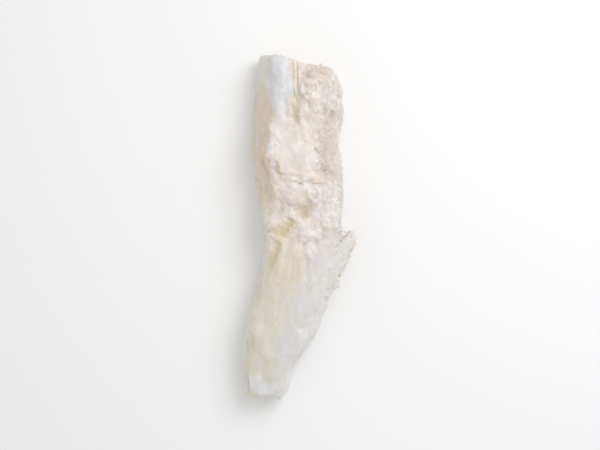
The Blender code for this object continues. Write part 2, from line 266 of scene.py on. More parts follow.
# The flesh: how it is remeshed, and the heights in millimetres of its relief
flesh = {"voxel": 0.4 * mm, "smoothing": 12,
         "lumps": 0.3, "pillows": 0.26, "shingles": 0.28, "fineShingles": 0.16, "grains": 0.2,
         "nap": 0.1, "fibres": 0.26, "tears": 0.2, "lip": 0.2, "undercut": 0.05, "fillet": 0.8,
         "fray": 0.7, "wingFray": 0.9, "fill": 1, "cutGrains": 0.3, "rim": 0.8,
         "calm": 0.5,   # the share that the broad flake is smoother by
         # shadedSheets: how many sheets get painted shade past their free edges
         "shadedSheets": 4, "wet": 0.35, "wetCrest": 0.25, "wetHollows": 0.3, "wetSmooth": 0.3}

tints = {
    # the membrane's tint is its own pale colour with a painted reflection of the sky in its bluish part
    "milk": srgb(236, 230, 224), "snow": srgb(243, 241, 240), "membrane": srgb(222, 223, 228),
    "cream": srgb(231, 223, 204), "tan": srgb(216, 205, 185), "yellow": srgb(221, 209, 170),
    "pink": srgb(235, 225, 219), "rose": srgb(230, 215, 206), "pale": srgb(226, 221, 207),
    "cool": srgb(228, 227, 226), "olive": srgb(221, 214, 196), "brown": srgb(207, 191, 167),
    # the bluish white that the slim end's patches take is a painted highlight
    "frost": srgb(232, 236, 243), "lilac": srgb(232, 227, 226), "dusk": srgb(212, 202, 188),
    "amber": srgb(228, 211, 182),
}


def addObject(name, data):
    piece = bpy.data.objects.new(name, data)
    scene.collection.objects.link(piece)
    return piece


def remeshedSolid():
    # an even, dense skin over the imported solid, with its facets smoothed away
    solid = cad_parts["cod_strip"]
    mesh = solid.data.copy()
    mesh.transform(solid.matrix_world)
    piece = addObject("tornFlesh", mesh)
    skin = piece.modifiers.new("skin", "REMESH")
    skin.mode = "VOXEL"
    skin.voxel_size = flesh["voxel"]
    soften = piece.modifiers.new("soften", "SMOOTH")
    soften.factor = 0.5
    soften.iterations = flesh["smoothing"]
    dense = bpy.data.meshes.new_from_object(piece.evaluated_get(bpy.context.evaluated_depsgraph_get()))
    piece.modifiers.clear()
    piece.data = dense
    dense.materials.clear()
    return piece


def meshPoints(mesh):
    # places in the strip's own layout, and the ways that the surface faces
    points, normals = np.empty((2, len(mesh.vertices) * 3), np.float32)
    mesh.vertices.foreach_get("co", points)
    mesh.vertices.foreach_get("normal", normals)
    return points.reshape(-1, 3) / mm - layoutZero, normals.reshape(-1, 3).astype(float)


def movePoints(mesh, points):
    mesh.vertices.foreach_set("co", ((points + layoutZero) * mm).astype(np.float32).ravel())
    mesh.update()


# Where the wing leaves the body, the flesh is pulled tight from one to the other
webbing = {"start": (18.5, -2.0), "end": (11.0, -34.0), "halfWidth": 8.5,
           "cell": 0.8, "passes": 120, "lowest": 12.0}


def betweenCells(grid, spots):
    # values of a grid between its cells' middles
    spots = np.clip(spots, 0, np.array(grid.shape) - 1.001)
    near = spots.astype(int)
    part = spots - near
    x, y = near.T
    first = grid[x, y] * (1 - part[:, 1]) + grid[x, y + 1] * part[:, 1]
    second = grid[x + 1, y] * (1 - part[:, 1]) + grid[x + 1, y + 1] * part[:, 1]
    return first * (1 - part[:, 0]) + second * part[:, 0]


def pulledTight(points, normals):
    # a skin over the dips near the webbing's line, evened out until it hangs like wet flesh
    away, _ = strokeShare(points[:, :2], webbing)
    near = (away < webbing["halfWidth"] + 2) & (points[:, 2] > webbing["lowest"]) & (normals[:, 2] > 0)
    flat = points[near, :2]
    corner = flat.min(axis=0) - webbing["cell"]
    spots = (flat - corner) / webbing["cell"]
    cells = np.round(spots).astype(int)
    below = np.zeros(cells.max(axis=0) + 2)
    np.maximum.at(below, (cells[:, 0], cells[:, 1]), points[near, 2])
    middles = np.stack(np.indices(below.shape), axis=-1) * webbing["cell"] + corner
    inside = strokeShare(middles.reshape(-1, 2), webbing)[0].reshape(below.shape) < webbing["halfWidth"]
    sides = ((1, 0), (-1, 0), (1, 1), (-1, 1))
    for step, axis in sides:
        inside &= np.roll(below, step, axis) > 0
    level = below.copy()
    for _ in range(webbing["passes"]):
        middle = sum(np.roll(level, step, axis) for step, axis in sides) / 4
        level = np.where(inside, np.maximum(below, middle), below)
    share = (1 - ramp(0.85, 1.0, away[near] / webbing["halfWidth"])) * ramp(0, 0.2, normals[near, 2])
    raised = points.copy()
    raised[near, 2] += share * betweenCells(level - below, spots)
    return raised


# Where the kinds of surface begin and are full, along the strip or across it from its midline
zoneEdges = {"torn": (-24, -8), "wing": (1, -13), "tail": (-40, -32), "right": (7, 13),
             "broadGrains": (45, 50), "sideGrains": (32, 26), "calmWall": (14, 30), "cutEnd": (60, 68)}


def zonesOf(points, normals):
    # masks from 0 to 1 for the kinds of surface that the strip shows. Of the places with them, place
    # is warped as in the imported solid, loosely is warped a little more, and plain isn't warped
    flat = points * (1, 1, 0)
    place = flat[:, :2] + layoutShift(flat)
    loosely = place + 0.8 * np.stack([noiseAt(points, 1.9, 45), noiseAt(points, 1.9, 46)], axis=1)
    y, upward = points[:, 1], normals[:, 2]
    up = ramp(0.1, 0.7, upward)
    across = points[:, 0] - np.polyval(midlineCurve, y)
    torn = ramp(*zoneEdges["torn"], y + 4 * noiseAt(points, 9, 41))
    away, share = strokeShare(loosely, ridge)
    halfWidth = ridge["halfWidth"] + ridge["bulge"] * bell(ridge["bulgeAt"], 9, y)
    crest = (1 - ramp(0.6, 1.25, away / halfWidth)) * (1 - ramp(0.6, 1.0, share)) * up
    away, _ = strokeShare(loosely, cleft)
    opened = ramp(cleft["opensAt"] + 2, cleft["opensAt"] - 8, y)
    gap = 1 - ramp(0.4, 1.5, away / cleft["halfWidth"] / (0.25 + 0.8 * opened))
    gap *= up * ramp(0.02, 0.3, opened)
    crease = np.zeros(len(points))
    for stroke in creases:
        away, _ = strokeShare(loosely, stroke)
        crease = np.maximum(crease, (1 - ramp(0, 1.8, away / stroke["halfWidth"])) * up)
    away, _ = strokeShare(points[:, :2], webbing)
    wing = (1 - ramp(6, 9, away)) * ramp(*zoneEdges["wing"], y + 4 * noiseAt(points, 5, 42))
    wall = ramp(0.3, 0.7, -normals[:, 0]) * ramp(-0.45, 0.1, upward)
    right = ramp(*zoneEdges["right"], across)
    grainy = ramp(-1.5, 1.5, place[:, 0]) * ramp(*zoneEdges["broadGrains"], y) * up
    side = right * torn * ramp(*zoneEdges["sideGrains"], y) * ramp(-0.4, 0.3, upward)
    patches = 0.5 * torn * up * ramp(0.1, 0.4, noiseAt(points, 7, 43))
    grainy = np.maximum(np.maximum(grainy, side), patches) * (1 - 0.7 * wing)
    return SimpleNamespace(
        wing=wing, up=up, torn=torn, across=across, crest=crest, gap=gap, crease=crease,
        wall=wall, calmWall=wall * ramp(*zoneEdges["calmWall"], y), right=right,
        frayed=np.maximum(torn, ramp(*zoneEdges["tail"], y) * right),
        grainy=grainy * (1 - crest) * (1 - gap),
        cutEnd=ramp(0.55, 0.85, normals[:, 1]) * ramp(*zoneEdges["cutEnd"], y),
        margin=bell(0.25, 0.4, upward), upward=upward,
        place=place, loosely=loosely, plain=points[:, :2])


def shinglesAt(points, spacing, direction, waver, seed):
    # layers that overlap towards a direction: each rises slowly and ends in a torn, uneven edge
    angle = math.radians(direction)
    ahead = points[:, 0] * math.cos(angle) + points[:, 1] * math.sin(angle)
    levels = ahead / spacing + waver * noiseAt(points, spacing * 0.9, seed)
    levels += 0.22 * waver * roughAt(points, spacing * 0.28, seed + 1, layers=3)
    part = levels - np.floor(levels)
    return (0.15 + 0.85 * part ** 1.5) * (1 - ramp(0.86, 1.0, part))


def flakeCells(points):
    # the lobes that the torn flesh falls into
    bent = points + 0.8 * noiseAt(points, 2.4, 52)[:, None]
    return grainsAt(bent, 3.4, 53, (1, 1.5, 1))


def tornRelief(points, zones, rough):
    # soft lumps, lobes and grains of the torn flesh
    torn = zones.torn
    height = flesh["lumps"] * (0.2 + 0.8 * torn) * roughAt(points, 5.5, 51, layers=2)
    away, level = flakeCells(points)
    height += flesh["pillows"] * torn * (0.6 + 0.8 * level) * (0.75 - 1.5 * away ** 2)
    present = ramp(-0.2, 0.35, noiseAt(points, 12, 54))
    height += flesh["shingles"] * torn * present * (shinglesAt(points, 9, -110, 0.9, 55) - 0.45)
    height += flesh["fineShingles"] * torn * (shinglesAt(points, 3.2, -96, 1.1, 67) - 0.45)
    away, level = grainsAt(points + 0.4 * noiseAt(points, 1.1, 57)[:, None], 1.25, 58, (1, 1.25, 1))
    height += flesh["grains"] * zones.grainy * (0.6 + 0.8 * level) * (0.7 - 1.5 * away ** 2)
    height += flesh["nap"] * (0.15 + 0.85 * torn) * roughAt(points, 0.9, 59, layers=2)
    return height * rough


def foldPlace(zones, fold):
    return zones.plain if fold.get("straight") else zones.loosely


def namedRelief(zones):
    # the forms, folds and curls that the strip shows one by one
    place, up = zones.loosely, zones.up
    height = np.zeros(len(place))
    for form in softForms:
        height += form["height"] * (1 - ramp(0.35, 1.15, roundShare(place, form))) * up
    for fold in folds:
        away, share = strokeShare(foldPlace(zones, fold), fold)
        ends = ramp(0, 0.2, share) * ramp(1, 0.8, share)
        height += fold["height"] * bell(0, 1, away / fold["halfWidth"]) * (0.35 + 0.65 * ends) * up
    for curl in curls:
        away = (roundShare(place, curl) - 1) * min(curl["halves"])
        height += curl["height"] * bell(0, 1, away / curl["halfWidth"]) * up
    return height


def fleshRelief(points, normals, zones):
    # how far each point of the skin stands out, from all its kinds of relief
    fibrePoints = points.copy()
    fibrePoints[:, 0] = zones.across
    torn, crest = zones.torn, zones.crest
    rough = (1 - 0.85 * crest) * (1 - 0.75 * zones.calmWall)
    rough *= (1 - 0.7 * zones.gap) * (1 - 0.5 * zones.wing)
    rough *= 1 - flesh["calm"] * (1 - ramp(0.7, 1.1, roundShare(zones.place, flatFlake)))
    height = tornRelief(points, zones, rough) + namedRelief(zones)
    strands = 0.4 - abs(noiseAt(fibrePoints, 1.5, 61, (1, 9, 1)))
    strands += 0.5 * (0.4 - abs(noiseAt(fibrePoints, 0.9, 62, (1, 7, 1))))
    height += flesh["fibres"] * strands * (1.0 - 0.5 * torn) * (1 - 0.8 * crest) * (1 + zones.calmWall)
    slits = 1 - ramp(0, 0.07, abs(noiseAt(fibrePoints, 2.6, 63, (1, 5, 1))))
    height -= flesh["tears"] * slits * ramp(0.1, 0.35, noiseAt(points, 6, 64)) * (0.15 + 0.85 * torn) * rough
    for sheet in sheets:
        past, reach = sheetEdge(zones.place, sheet)
        soft, crisp = 1 - ramp(-0.8, 0.9, past), 1 - ramp(-0.25, 0.25, past)
        edge = sheet["height"] * 0.5 * (crisp - soft)
        edge += flesh["lip"] * bell(-0.7, 0.7, past) - flesh["undercut"] * bell(0.45, 0.5, past)
        edge += flesh["fillet"] * sheet["height"] * ramp(-0.5, 0.5, past) * (1 - ramp(0.5, 3.5, past))
        height += edge * reach * zones.up * sheet["crisp"]
    fray = flesh["fray"] + flesh["wingFray"] * ramp(-2, -8, points[:, 1])
    fray = fray * (zones.margin * zones.right * zones.frayed)
    height += fray * roughAt(points, 2.2, 66, layers=3)
    height += flesh["fill"] * zones.gap
    ends, _ = grainsAt(points, 1.1, 65)
    height += flesh["cutGrains"] * zones.cutEnd * (0.9 - 1.8 * ends)
    rim = ramp(0.3, 0.6, normals[:, 1]) * ramp(0, 0.3, normals[:, 2]) * ramp(66, 72, points[:, 1])
    height += flesh["rim"] * rim * roughAt(points, 1.6, 68, layers=3)
    return height * ramp(-0.8, -0.35, normals[:, 2])


def mixed(colours, tint, share):
    # colours moved towards a tint
    return colours + (np.array(tints[tint]) - colours) * share


def fleshTint(points, zones, height):
    # milky white where it is torn, cream and painted shade in the hollows, cool and clear where it is
    # smooth; painted light and shade are noted where they are mixed in
    y, torn, up, across = points[:, 1], zones.torn, zones.up, zones.across
    wall, calmWall, wing, crest = zones.wall, zones.calmWall, zones.wing, zones.crest
    side = across + 4 * noiseAt(points, 14, 81)
    colours = np.tile(tints["pale"], (len(points), 1))

    def mixIn(tint, share):
        colours[:] = mixed(colours, tint, np.clip(share, 0, 1)[:, None])

    # the smooth flesh turns cool white towards its right side: partly its own tone and partly painted light,
    # as that side faces the key light
    mixIn("cool", ramp(-5, 8, side) * (1 - torn))
    mixIn("milk", torn * 0.95)
    mixIn("pink", torn * ramp(-0.1, 0.35, noiseAt(points, 10, 82)) * 0.75)
    mixIn("cream", torn * ramp(0.05, 0.4, noiseAt(points, 8, 83)) * 0.6)
    mixIn("cream", torn * ramp(0, -12, across) * ramp(26, 8, y) * 0.5)
    mixIn("cool", torn * ramp(4, 12, side) * ramp(30, 12, y) * 0.5)
    # painted shade: cream just past the free edges of the first sheets, where they overhang
    for sheet in sheets[:flesh["shadedSheets"]]:
        past, reach = sheetEdge(zones.place, sheet)
        under = ramp(-0.1, 0.4, past) * (1 - ramp(1.2, 4.5, past))
        mixIn("cream", under * reach * up * 0.5)
    away, level = flakeCells(points + 0.35 * roughAt(points, 1.2, 89)[:, None])
    cells = torn * (1 - 0.8 * crest) * (0.35 + 0.65 * ramp(30, 16, y))
    mixIn("rose", cells * ramp(0.1, 0.6, level) * 0.6)
    mixIn("cream", cells * ramp(-0.1, -0.6, level) * 0.75)
    mixIn("snow", cells * ramp(0.3, 0.6, away) * 0.5)
    uneven = 0.45 * roughAt(points, 2.4, 86)
    for form in softForms:
        share = form["share"] * (1 - ramp(0.25, 1.35, roundShare(zones.loosely, form) + uneven))
        mixIn(form["tint"], share * up)
    # painted shade: cream in the hollows of the relief
    mixIn("cream", ramp(0, -0.5, height) * 0.6)
    # a dusk tone over the grains of the top right block, deepened as painted shade where they lie low
    shaded = 0.25 + 0.4 * ramp(0.3, -0.2, height)
    mixIn("dusk", zones.grainy * ramp(40, 50, y) * shaded)
    # painted light: whiter on the raised places, except on the crest
    mixIn("snow", ramp(0.15, 0.7, height) * 0.3 * (1 - crest))
    for fold in folds:
        away, _ = strokeShare(foldPlace(zones, fold), fold)
        mixIn(fold["tint"], bell(0, 1, away / fold["halfWidth"]) * 0.8 * up)
    # The left-facing wall faces away from the key light: its tan, cream, amber and paler top end are partly
    # the flesh's own colour and partly painted shade
    mixIn("tan", wall * ramp(-6, 16, y) * 0.85)
    mixIn("cream", wall * ramp(0, 10, y) * ramp(30, 20, y) * 0.5)
    mixIn("amber", wall * bell(28, 6, y) * 0.8)
    mixIn("pale", wall * ramp(56, 68, y) * 0.8)
    streaks = noiseAt(points, 2.0, 84, (1, 11, 1)) + 0.5 * noiseAt(points, 0.8, 85, (1, 12, 1))
    blotches = roughAt(points, 6, 88, (1, 1.6, 1))
    mixIn("lilac", ramp(0, 0.6, blotches) * (1 - torn) * 0.5)
    mixIn("brown", ramp(0.05, 0.7, streaks) * calmWall * 0.3)
    mixIn("cream", ramp(-0.05, -0.7, streaks) * calmWall * 0.25)
    mixIn("rose", ramp(0, 0.5, blotches) * calmWall * 0.5)
    mixIn("pale", ramp(0.1, -0.5, blotches) * calmWall * 0.35)
    # the left wall's top end, cooler: part of the wall's painted shade
    mixIn("cool", wall * ramp(62, 72, y) * 0.6)
    mixIn("pale", wing * 0.3)
    mixIn("cool", wing * (0.35 + 0.3 * up))
    spots = ramp(0, 0.5, roughAt(points, 3.2, 87, (1, 1.3, 1)))
    mixIn("rose", wing * spots * 0.2)
    # the ridge's crest: lilac, and bluish white towards its top end, partly the membrane's own colour and
    # partly a painted reflection of the sky
    mixIn("lilac", crest * 0.8)
    mixIn("membrane", crest * ramp(42, 56, y) * 0.9)
    mixIn("olive", np.maximum(zones.gap * 0.9, zones.cutEnd * 0.7))
    mixIn("yellow", zones.crease * 0.75)
    return colours


def paintPoints(mesh, colours, wetness=0.5):
    # a tint and a wetness for each point, which the materials read
    colours = colours.reshape(-1, 3)
    tint = mesh.color_attributes.new("tint", "FLOAT_COLOR", "POINT")
    rows = np.column_stack([colours, np.ones(len(colours))]).astype(np.float32)
    tint.data.foreach_set("color", rows.ravel())
    wet = mesh.attributes.new("wetness", "FLOAT", "POINT")
    values = np.ones(len(colours)) * np.clip(wetness, 0, 1)
    wet.data.foreach_set("value", values.astype(np.float32))


def makeFlesh():
    # the torn skin, and what the loose pieces have to know of it
    piece = remeshedSolid()
    mesh = piece.data
    movePoints(mesh, pulledTight(*meshPoints(mesh)))
    points, normals = meshPoints(mesh)
    zones = zonesOf(points, normals)
    height = fleshRelief(points, normals, zones)
    colours = fleshTint(points, zones, height)
    raised = points + normals * height[:, None]
    raised[:, 2] = np.maximum(raised[:, 2], 0)
    movePoints(mesh, raised)
    wetness = flesh["wet"] + flesh["wetCrest"] * zones.crest
    wetness += flesh["wetHollows"] * ramp(0.1, -0.5, height)
    wetness += flesh["wetSmooth"] * (1 - zones.torn)
    paintPoints(mesh, colours, wetness)
    mesh.shade_smooth()
    corners = np.empty(len(mesh.loops), np.int32)
    mesh.loops.foreach_get("vertex_index", corners)
    corners = corners.reshape(-1, 4)
    tree = BVHTree.FromPolygons(raised.tolist(), corners.tolist())
    print("flesh:", len(mesh.polygons), "faces, relief", height.min().round(2), height.max().round(2))
    ground = SimpleNamespace(tree=tree, corners=corners, points=raised, normals=normals,
                             zones=zones, colours=colours)
    return piece, ground


# Loose pieces lie on the flesh, each from its root to its free tip, and follow what is under them
def unit(vectors):
    return vectors / np.maximum(np.linalg.norm(vectors, axis=-1, keepdims=True), 1e-6)


def alongSurface(headings, normals):
    return unit(headings - normals * np.sum(headings * normals, axis=1)[:, None])


def headingsAt(points, normals, turns):
    # the way down the strip, turned to the left by each angle
    slope = np.polyval(midlineSlope, points[:, 1])
    angles = np.arctan2(-np.ones(len(points)), -slope) + turns
    headings = np.column_stack([np.cos(angles), np.sin(angles), np.zeros(len(points))])
    return alongSurface(headings, normals)


def pickPoints(draw, weights, count):
    # that many of the points, more of them where the weights are high
    return draw.choice(len(weights), count, replace=False, p=weights / weights.sum())


def between(draw, kind, key):
    low, high = kind[key]
    return low + (high - low) * draw.random(kind["count"]) ** kind["fewLarge"]


def scattered(ground, weights, kind):
    # random roots and sizes for loose pieces
    draw = np.random.default_rng(kind["seed"])
    seeds = pickPoints(draw, weights, kind["count"])
    turns = draw.normal(0, math.radians(kind["spread"]), len(seeds)) + math.radians(kind["turn"])
    normals = ground.normals[seeds]
    rows = {"root": ground.points[seeds], "normal": normals, "colour": ground.colours[seeds],
            "heading": headingsAt(ground.points[seeds], normals, turns)}
    for key in ("length", "width", "thickness", "lift"):
        rows[key] = between(draw, kind, key)
    rows["bend"] = draw.normal(0, kind["bend"], len(seeds))
    rows["seed"] = draw.random(len(seeds)) * 90
    return rows


def draped(ground, rows, kind):
    # a grid of points for each piece, from its root to its tip and from side to side
    def column(key):
        return rows[key].reshape(len(rows["root"]), 1, 1, -1)

    along = np.linspace(0, 1, kind["steps"]).reshape(1, -1, 1, 1)
    aside = np.linspace(-1, 1, kind["lanes"]) if kind["lanes"] > 1 else np.zeros(1)
    aside = aside.reshape(1, 1, -1, 1)
    side = np.cross(rows["normal"], rows["heading"]).reshape(-1, 1, 1, 3)
    ragged = ragsOf(rows, along, aside, kind["rags"])
    reach = column("length") * along * (1 + ragged * ramp(0.3, 1, along))
    outline = 1 - kind["taper"] * ramp(0.2, 1, along)
    outline = outline * (1 - 0.75 * ramp(0.75, 1, along) * kind["round"])
    sway = column("bend") * column("length") * along ** 2
    spread = aside * column("width") / 2 * outline * (1 + ragged) + sway
    places = column("root") + column("heading") * reach + side * spread
    base = onGround(ground, places, rows["normal"])
    for _ in range(kind["evening"]):
        base = evened(base)
    rise = column("lift") * along ** 2 - kind["buried"] * (1 - along) ** 1.5
    rise = rise - kind["sunk"] * abs(aside) ** 3 * (1 - along)
    base = base + column("normal") * rise
    base[..., 2] = np.maximum(base[..., 2], 0.25)   # clear of the floor
    return base, along, aside


def ragsOf(rows, along, aside, amount):
    # noise that makes each piece's sides and tip ragged
    count, steps, lanes = len(rows["seed"]), along.shape[1], aside.shape[2]
    shape = (count, steps, lanes)
    seeds = np.broadcast_to(rows["seed"].reshape(-1, 1, 1), shape)
    across = np.broadcast_to(aside[..., 0] * 2.0, shape)
    down = np.broadcast_to(along[..., 0] * 1.6, shape)
    places = np.stack([seeds, across, down], axis=-1).reshape(-1, 3)
    return amount * roughAt(places, 1, 90, layers=4).reshape(*shape, 1)


# How far a loose piece looks for the flesh, and how far it hangs where it finds none
search = {"outward": 4, "inward": 5, "hang": 1.2, "overhead": 60}


def onGround(ground, places, normals):
    # each place moved onto the flesh under it, or left a little lower where there is none
    base = places.copy()
    depth = search["outward"] + search["inward"]
    for i, normal in enumerate(normals):
        inward = Vector(-normal)
        for index in np.ndindex(places.shape[1:3]):
            place = Vector(places[(i, *index)])
            spot, _, _, _ = ground.tree.ray_cast(place - inward * search["outward"], inward, depth)
            base[(i, *index)] = spot if spot else place + inward * search["hang"]
    return base


def dropped(ground, place):
    # the spot straight under a place, and the face that it lies on
    spot, _, face, _ = ground.tree.ray_cast(Vector((*place, search["overhead"])), Vector((0, 0, -1)))
    return spot, face


def evened(grid):
    # the bumps that a thin sheet doesn't follow are averaged out
    along = np.concatenate([grid[:, :1], grid, grid[:, -1:]], axis=1)
    grid = (along[:, :-2] + 2 * along[:, 1:-1] + along[:, 2:]) / 4
    aside = np.concatenate([grid[:, :, :1], grid, grid[:, :, -1:]], axis=2)
    return (aside[:, :, :-2] + 2 * aside[:, :, 1:-1] + aside[:, :, 2:]) / 4


def repeatedFaces(faces, count, each):
    # the faces of one piece, for a count of pieces with so many points each
    allFaces = faces[None] + (np.arange(count) * each)[:, None, None]
    return allFaces.reshape(-1, faces.shape[1])


def sheetsMesh(name, base, normals, thickness):
    # closed thin sheets from a grid each: an upper and a lower face, joined round the rim
    count, steps, lanes = base.shape[:3]
    up = normals.reshape(-1, 1, 1, 3) * thickness / 2
    points = np.stack([base + up, base - up], axis=1).reshape(-1, 3)
    cells = np.arange(steps * lanes).reshape(steps, lanes)
    top = np.stack([cells[:-1, :-1], cells[1:, :-1], cells[1:, 1:], cells[:-1, 1:]], axis=-1).reshape(-1, 4)
    under = top[:, ::-1] + steps * lanes
    rim = np.concatenate([cells[0, :-1], cells[:-1, -1], cells[-1, :0:-1], cells[:0:-1, 0]])
    after = np.roll(rim, -1)
    walls = np.stack([after, rim, rim + steps * lanes, after + steps * lanes], axis=-1)
    faces = np.concatenate([top, under, walls[:, ::-1]])
    return newPiece(name, points, repeatedFaces(faces, count, 2 * steps * lanes))


def tubesMesh(name, paths, radius):
    # thin closed threads with four sides
    count, steps = paths.shape[:2]
    along = unit(np.gradient(paths, axis=1))
    askew = (0.31, 0.17, 0.94)   # a direction that no thread follows
    first = unit(np.cross(along, askew))
    second = np.cross(along, first)
    ring = np.stack([first, second, -first, -second], axis=2)
    points = (paths[:, :, None] + ring * radius[:, :, None, None]).reshape(-1, 3)
    cells = np.arange(steps * 4).reshape(steps, 4)
    turned = np.roll(cells, -1, axis=1)
    sides = np.stack([cells[:-1], turned[:-1], turned[1:], cells[1:]], axis=-1).reshape(-1, 4)
    faces = np.concatenate([sides, [cells[0, ::-1], cells[-1]]])
    return newPiece(name, points, repeatedFaces(faces, count, steps * 4))


def newPiece(name, points, faces):
    mesh = bpy.data.meshes.new(name)
    mesh.from_pydata(((points + layoutZero) * mm).tolist(), [], faces.tolist())
    mesh.validate()
    mesh.shade_smooth()
    print(name + ":", len(mesh.polygons), "faces")
    return addObject(name, mesh)


def tipTint(rows, along, shape, whiten):
    # each piece has its root's colour and pales towards its thin tip
    share = whiten * ramp(0, 0.8, np.broadcast_to(along, (*shape, 1)))
    return mixed(rows["colour"].reshape(-1, 1, 1, 3), "snow", share).reshape(shape[0], -1, 3)


def groundTint(ground, places):
    # the flesh's colour nearest to each place
    faces = [ground.tree.find_nearest(Vector(place))[2] for place in places]
    return ground.colours[ground.corners[faces, 0]]


# The torn edge of a sheet: its rows lie on the sheet up to where it settles, then hang free
lips = {"lanes": 110, "rows": 7, "span": 0.95, "trial": 39, "settle": 0.9, "behind": 4.5, "beyond": 0.9,
        "thickness": 0.2, "droop": 0.7, "deepest": 2.4, "clear": 0.15, "slope": 3.5, "sink": 0.8,
        "rise": 0.05, "leastCrisp": 0.4, "whiten": 0.3}


def heightsAt(ground, places):
    # how high the flesh is under each place, or nothing beside it
    spots = [dropped(ground, place)[0] for place in places.reshape(-1, 2)]
    return np.array([spot[2] if spot else 0.0 for spot in spots]).reshape(places.shape[:-1])


def lipLine(sheet, aside):
    # where the relief puts a sheet's free edge, the way it faces, and how far the lip frays past it
    facing = facingOf(sheet)
    line = sheet["edge"] + np.outer(aside * sheet["width"] / 2, (-facing[1], facing[0]))
    flat = atFloor(line - np.outer(sheet["bow"] * aside ** 2, facing))
    for _ in range(2):   # the noise is read where it moves the line to
        out = edgeShift(flat, sheet) - sheet["bow"] * aside ** 2
        flat = atFloor(line + np.outer(out, facing))
    frayed = lips["beyond"] * (0.4 + roughAt(flat, 2.2, 92, layers=2))
    return flat[:, :2] - layoutShift(flat), facing, frayed


def lipGrid(ground, sheet):
    # the lip rests on its sheet and runs on a little way over the drop
    aside = np.linspace(-lips["span"], lips["span"], lips["trial"])
    line, facing, _ = lipLine(sheet, aside)
    heights = heightsAt(ground, line - lips["settle"] * facing)
    onTop = aside[heights > heights.max() - lips["slope"]]
    aside = np.linspace(onTop[0], onTop[-1], lips["lanes"])
    line, facing, frayed = lipLine(sheet, aside)
    rows = lips["rows"]
    resting = np.linspace(-lips["behind"], -lips["settle"], rows)[:, None] + np.zeros(len(frayed))
    shares = np.array((0.25, 0.5, 0.75, 1.0))[:, None]
    free = -lips["settle"] + shares * (lips["settle"] + np.maximum(frayed, -0.6))
    offsets = np.concatenate([resting, free])
    places = line[None] + offsets[..., None] * facing
    below = heightsAt(ground, places)
    lowest = below[rows - 1] - lips["deepest"]
    landed = np.maximum(below[rows:], lowest) + lips["clear"]
    level = np.maximum(below, lowest)
    level[rows:] = level[rows - 1] + (landed - level[rows - 1]) * shares ** lips["droop"]
    level[rows:] = np.maximum(level[rows:], landed)
    along = np.linspace(0, 1, len(offsets))[:, None]
    ends = np.linspace(-1, 1, lips["lanes"]) ** 8
    level += lips["rise"] - lips["sink"] * np.maximum((1 - along) ** 1.6, ends)
    return np.concatenate([places, level[..., None]], axis=2)


def makeLips(ground):
    # the thin torn edges of the sheets of flesh that overlap
    base = np.stack([lipGrid(ground, sheet) for sheet in sheets if sheet["crisp"] >= lips["leastCrisp"]])
    along = np.linspace(0, 1, base.shape[1]).reshape(1, -1, 1, 1) + np.zeros((*base.shape[:3], 1))
    thickness = lips["thickness"] * (1 - 0.7 * along)
    piece = sheetsMesh("sheetLips", base, np.tile((0, 0, 1.0), (len(base), 1)), thickness)
    pale = lips["whiten"] * ramp(0.7, 1.0, along).reshape(-1, 1)
    colours = mixed(groundTint(ground, base.reshape(-1, 3)), "snow", pale)
    colours = np.repeat(colours.reshape(len(base), 1, -1, 3), 2, axis=1)
    paintPoints(piece.data, colours)
    return piece


def sheetPieces(name, ground, rows, kind):
    base, along, aside = draped(ground, rows, kind)
    thickness = rows["thickness"].reshape(-1, 1, 1, 1) * (1 - kind["thinTip"] * along)
    thickness = thickness * (1 - kind["thinRim"] * aside ** 2) + kind["leastThick"]
    piece = sheetsMesh(name, base, rows["normal"], thickness)
    colours = tipTint(rows, along, base.shape[:3], kind["whiten"])
    paintPoints(piece.data, np.repeat(colours[:, None], 2, axis=1))
    return piece


def threadPieces(name, ground, rows, kind):
    base, along, _ = draped(ground, rows, kind)
    radius = rows["thickness"][:, None] / 2 * (1 - kind["thinTip"] * along[:, :, 0, 0])
    piece = tubesMesh(name, base[:, :, 0], radius)
    colours = tipTint(rows, along, base.shape[:3], kind["whiten"])
    paintPoints(piece.data, np.repeat(colours, 4, axis=1))
    return piece


def namedRows(ground, named):
    # the pieces that are placed by name, as rows like the scattered ones
    columns = {key: np.array([row[key] for row in named]) for key in named[0]}
    roots = columns["root"]
    spots, faces = zip(*(dropped(ground, root) for root in roots))
    nearest = ground.corners[list(faces), 0]
    normals = unit(ground.normals[nearest] + np.array((0, 0, 1.0)))
    heading = atFloor(columns["tip"] - roots)
    columns.update({"root": np.array(spots), "normal": normals, "colour": ground.colours[nearest],
                    "heading": alongSurface(heading, normals), "length": np.linalg.norm(heading, axis=1),
                    "bend": np.zeros(len(roots)), "seed": np.arange(len(roots)) * 3.7})
    return columns


def joined(first, second):
    return {key: np.concatenate([first[key], second[key]]) for key in second}


flakes = {"count": 80, "length": (1.8, 5.5), "width": (1.6, 4.6), "thickness": (0.1, 0.2),
          "lift": (0.0, 0.2), "fewLarge": 1.4, "turn": -12, "spread": 45, "bend": 0.1, "rags": 0.42,
          "taper": 0.3, "round": 0.8, "buried": 0.6, "sunk": 0.6, "evening": 1, "steps": 8, "lanes": 9,
          "thinTip": 0.7, "thinRim": 0.7, "leastThick": 0.05, "whiten": 0.1, "seed": 11}

# Single flakes that stand out
namedFlakes = table(
    "root tip width thickness lift",
    ((-13.2, 34), (-16.4, 31.6), 3, 0.2, 0.1),
    ((-12.6, 31), (-15.4, 28.4), 2.8, 0.2, 0.1),
    ((-11, 28.6), (-13, 25.6), 3, 0.2, 0.1),
    ((4, -9.6), (3.2, -16.4), 3, 0.2, 0.1),
    ((-13, -1), (-16, -4.6), 3.6, 0.2, 0.1),
)


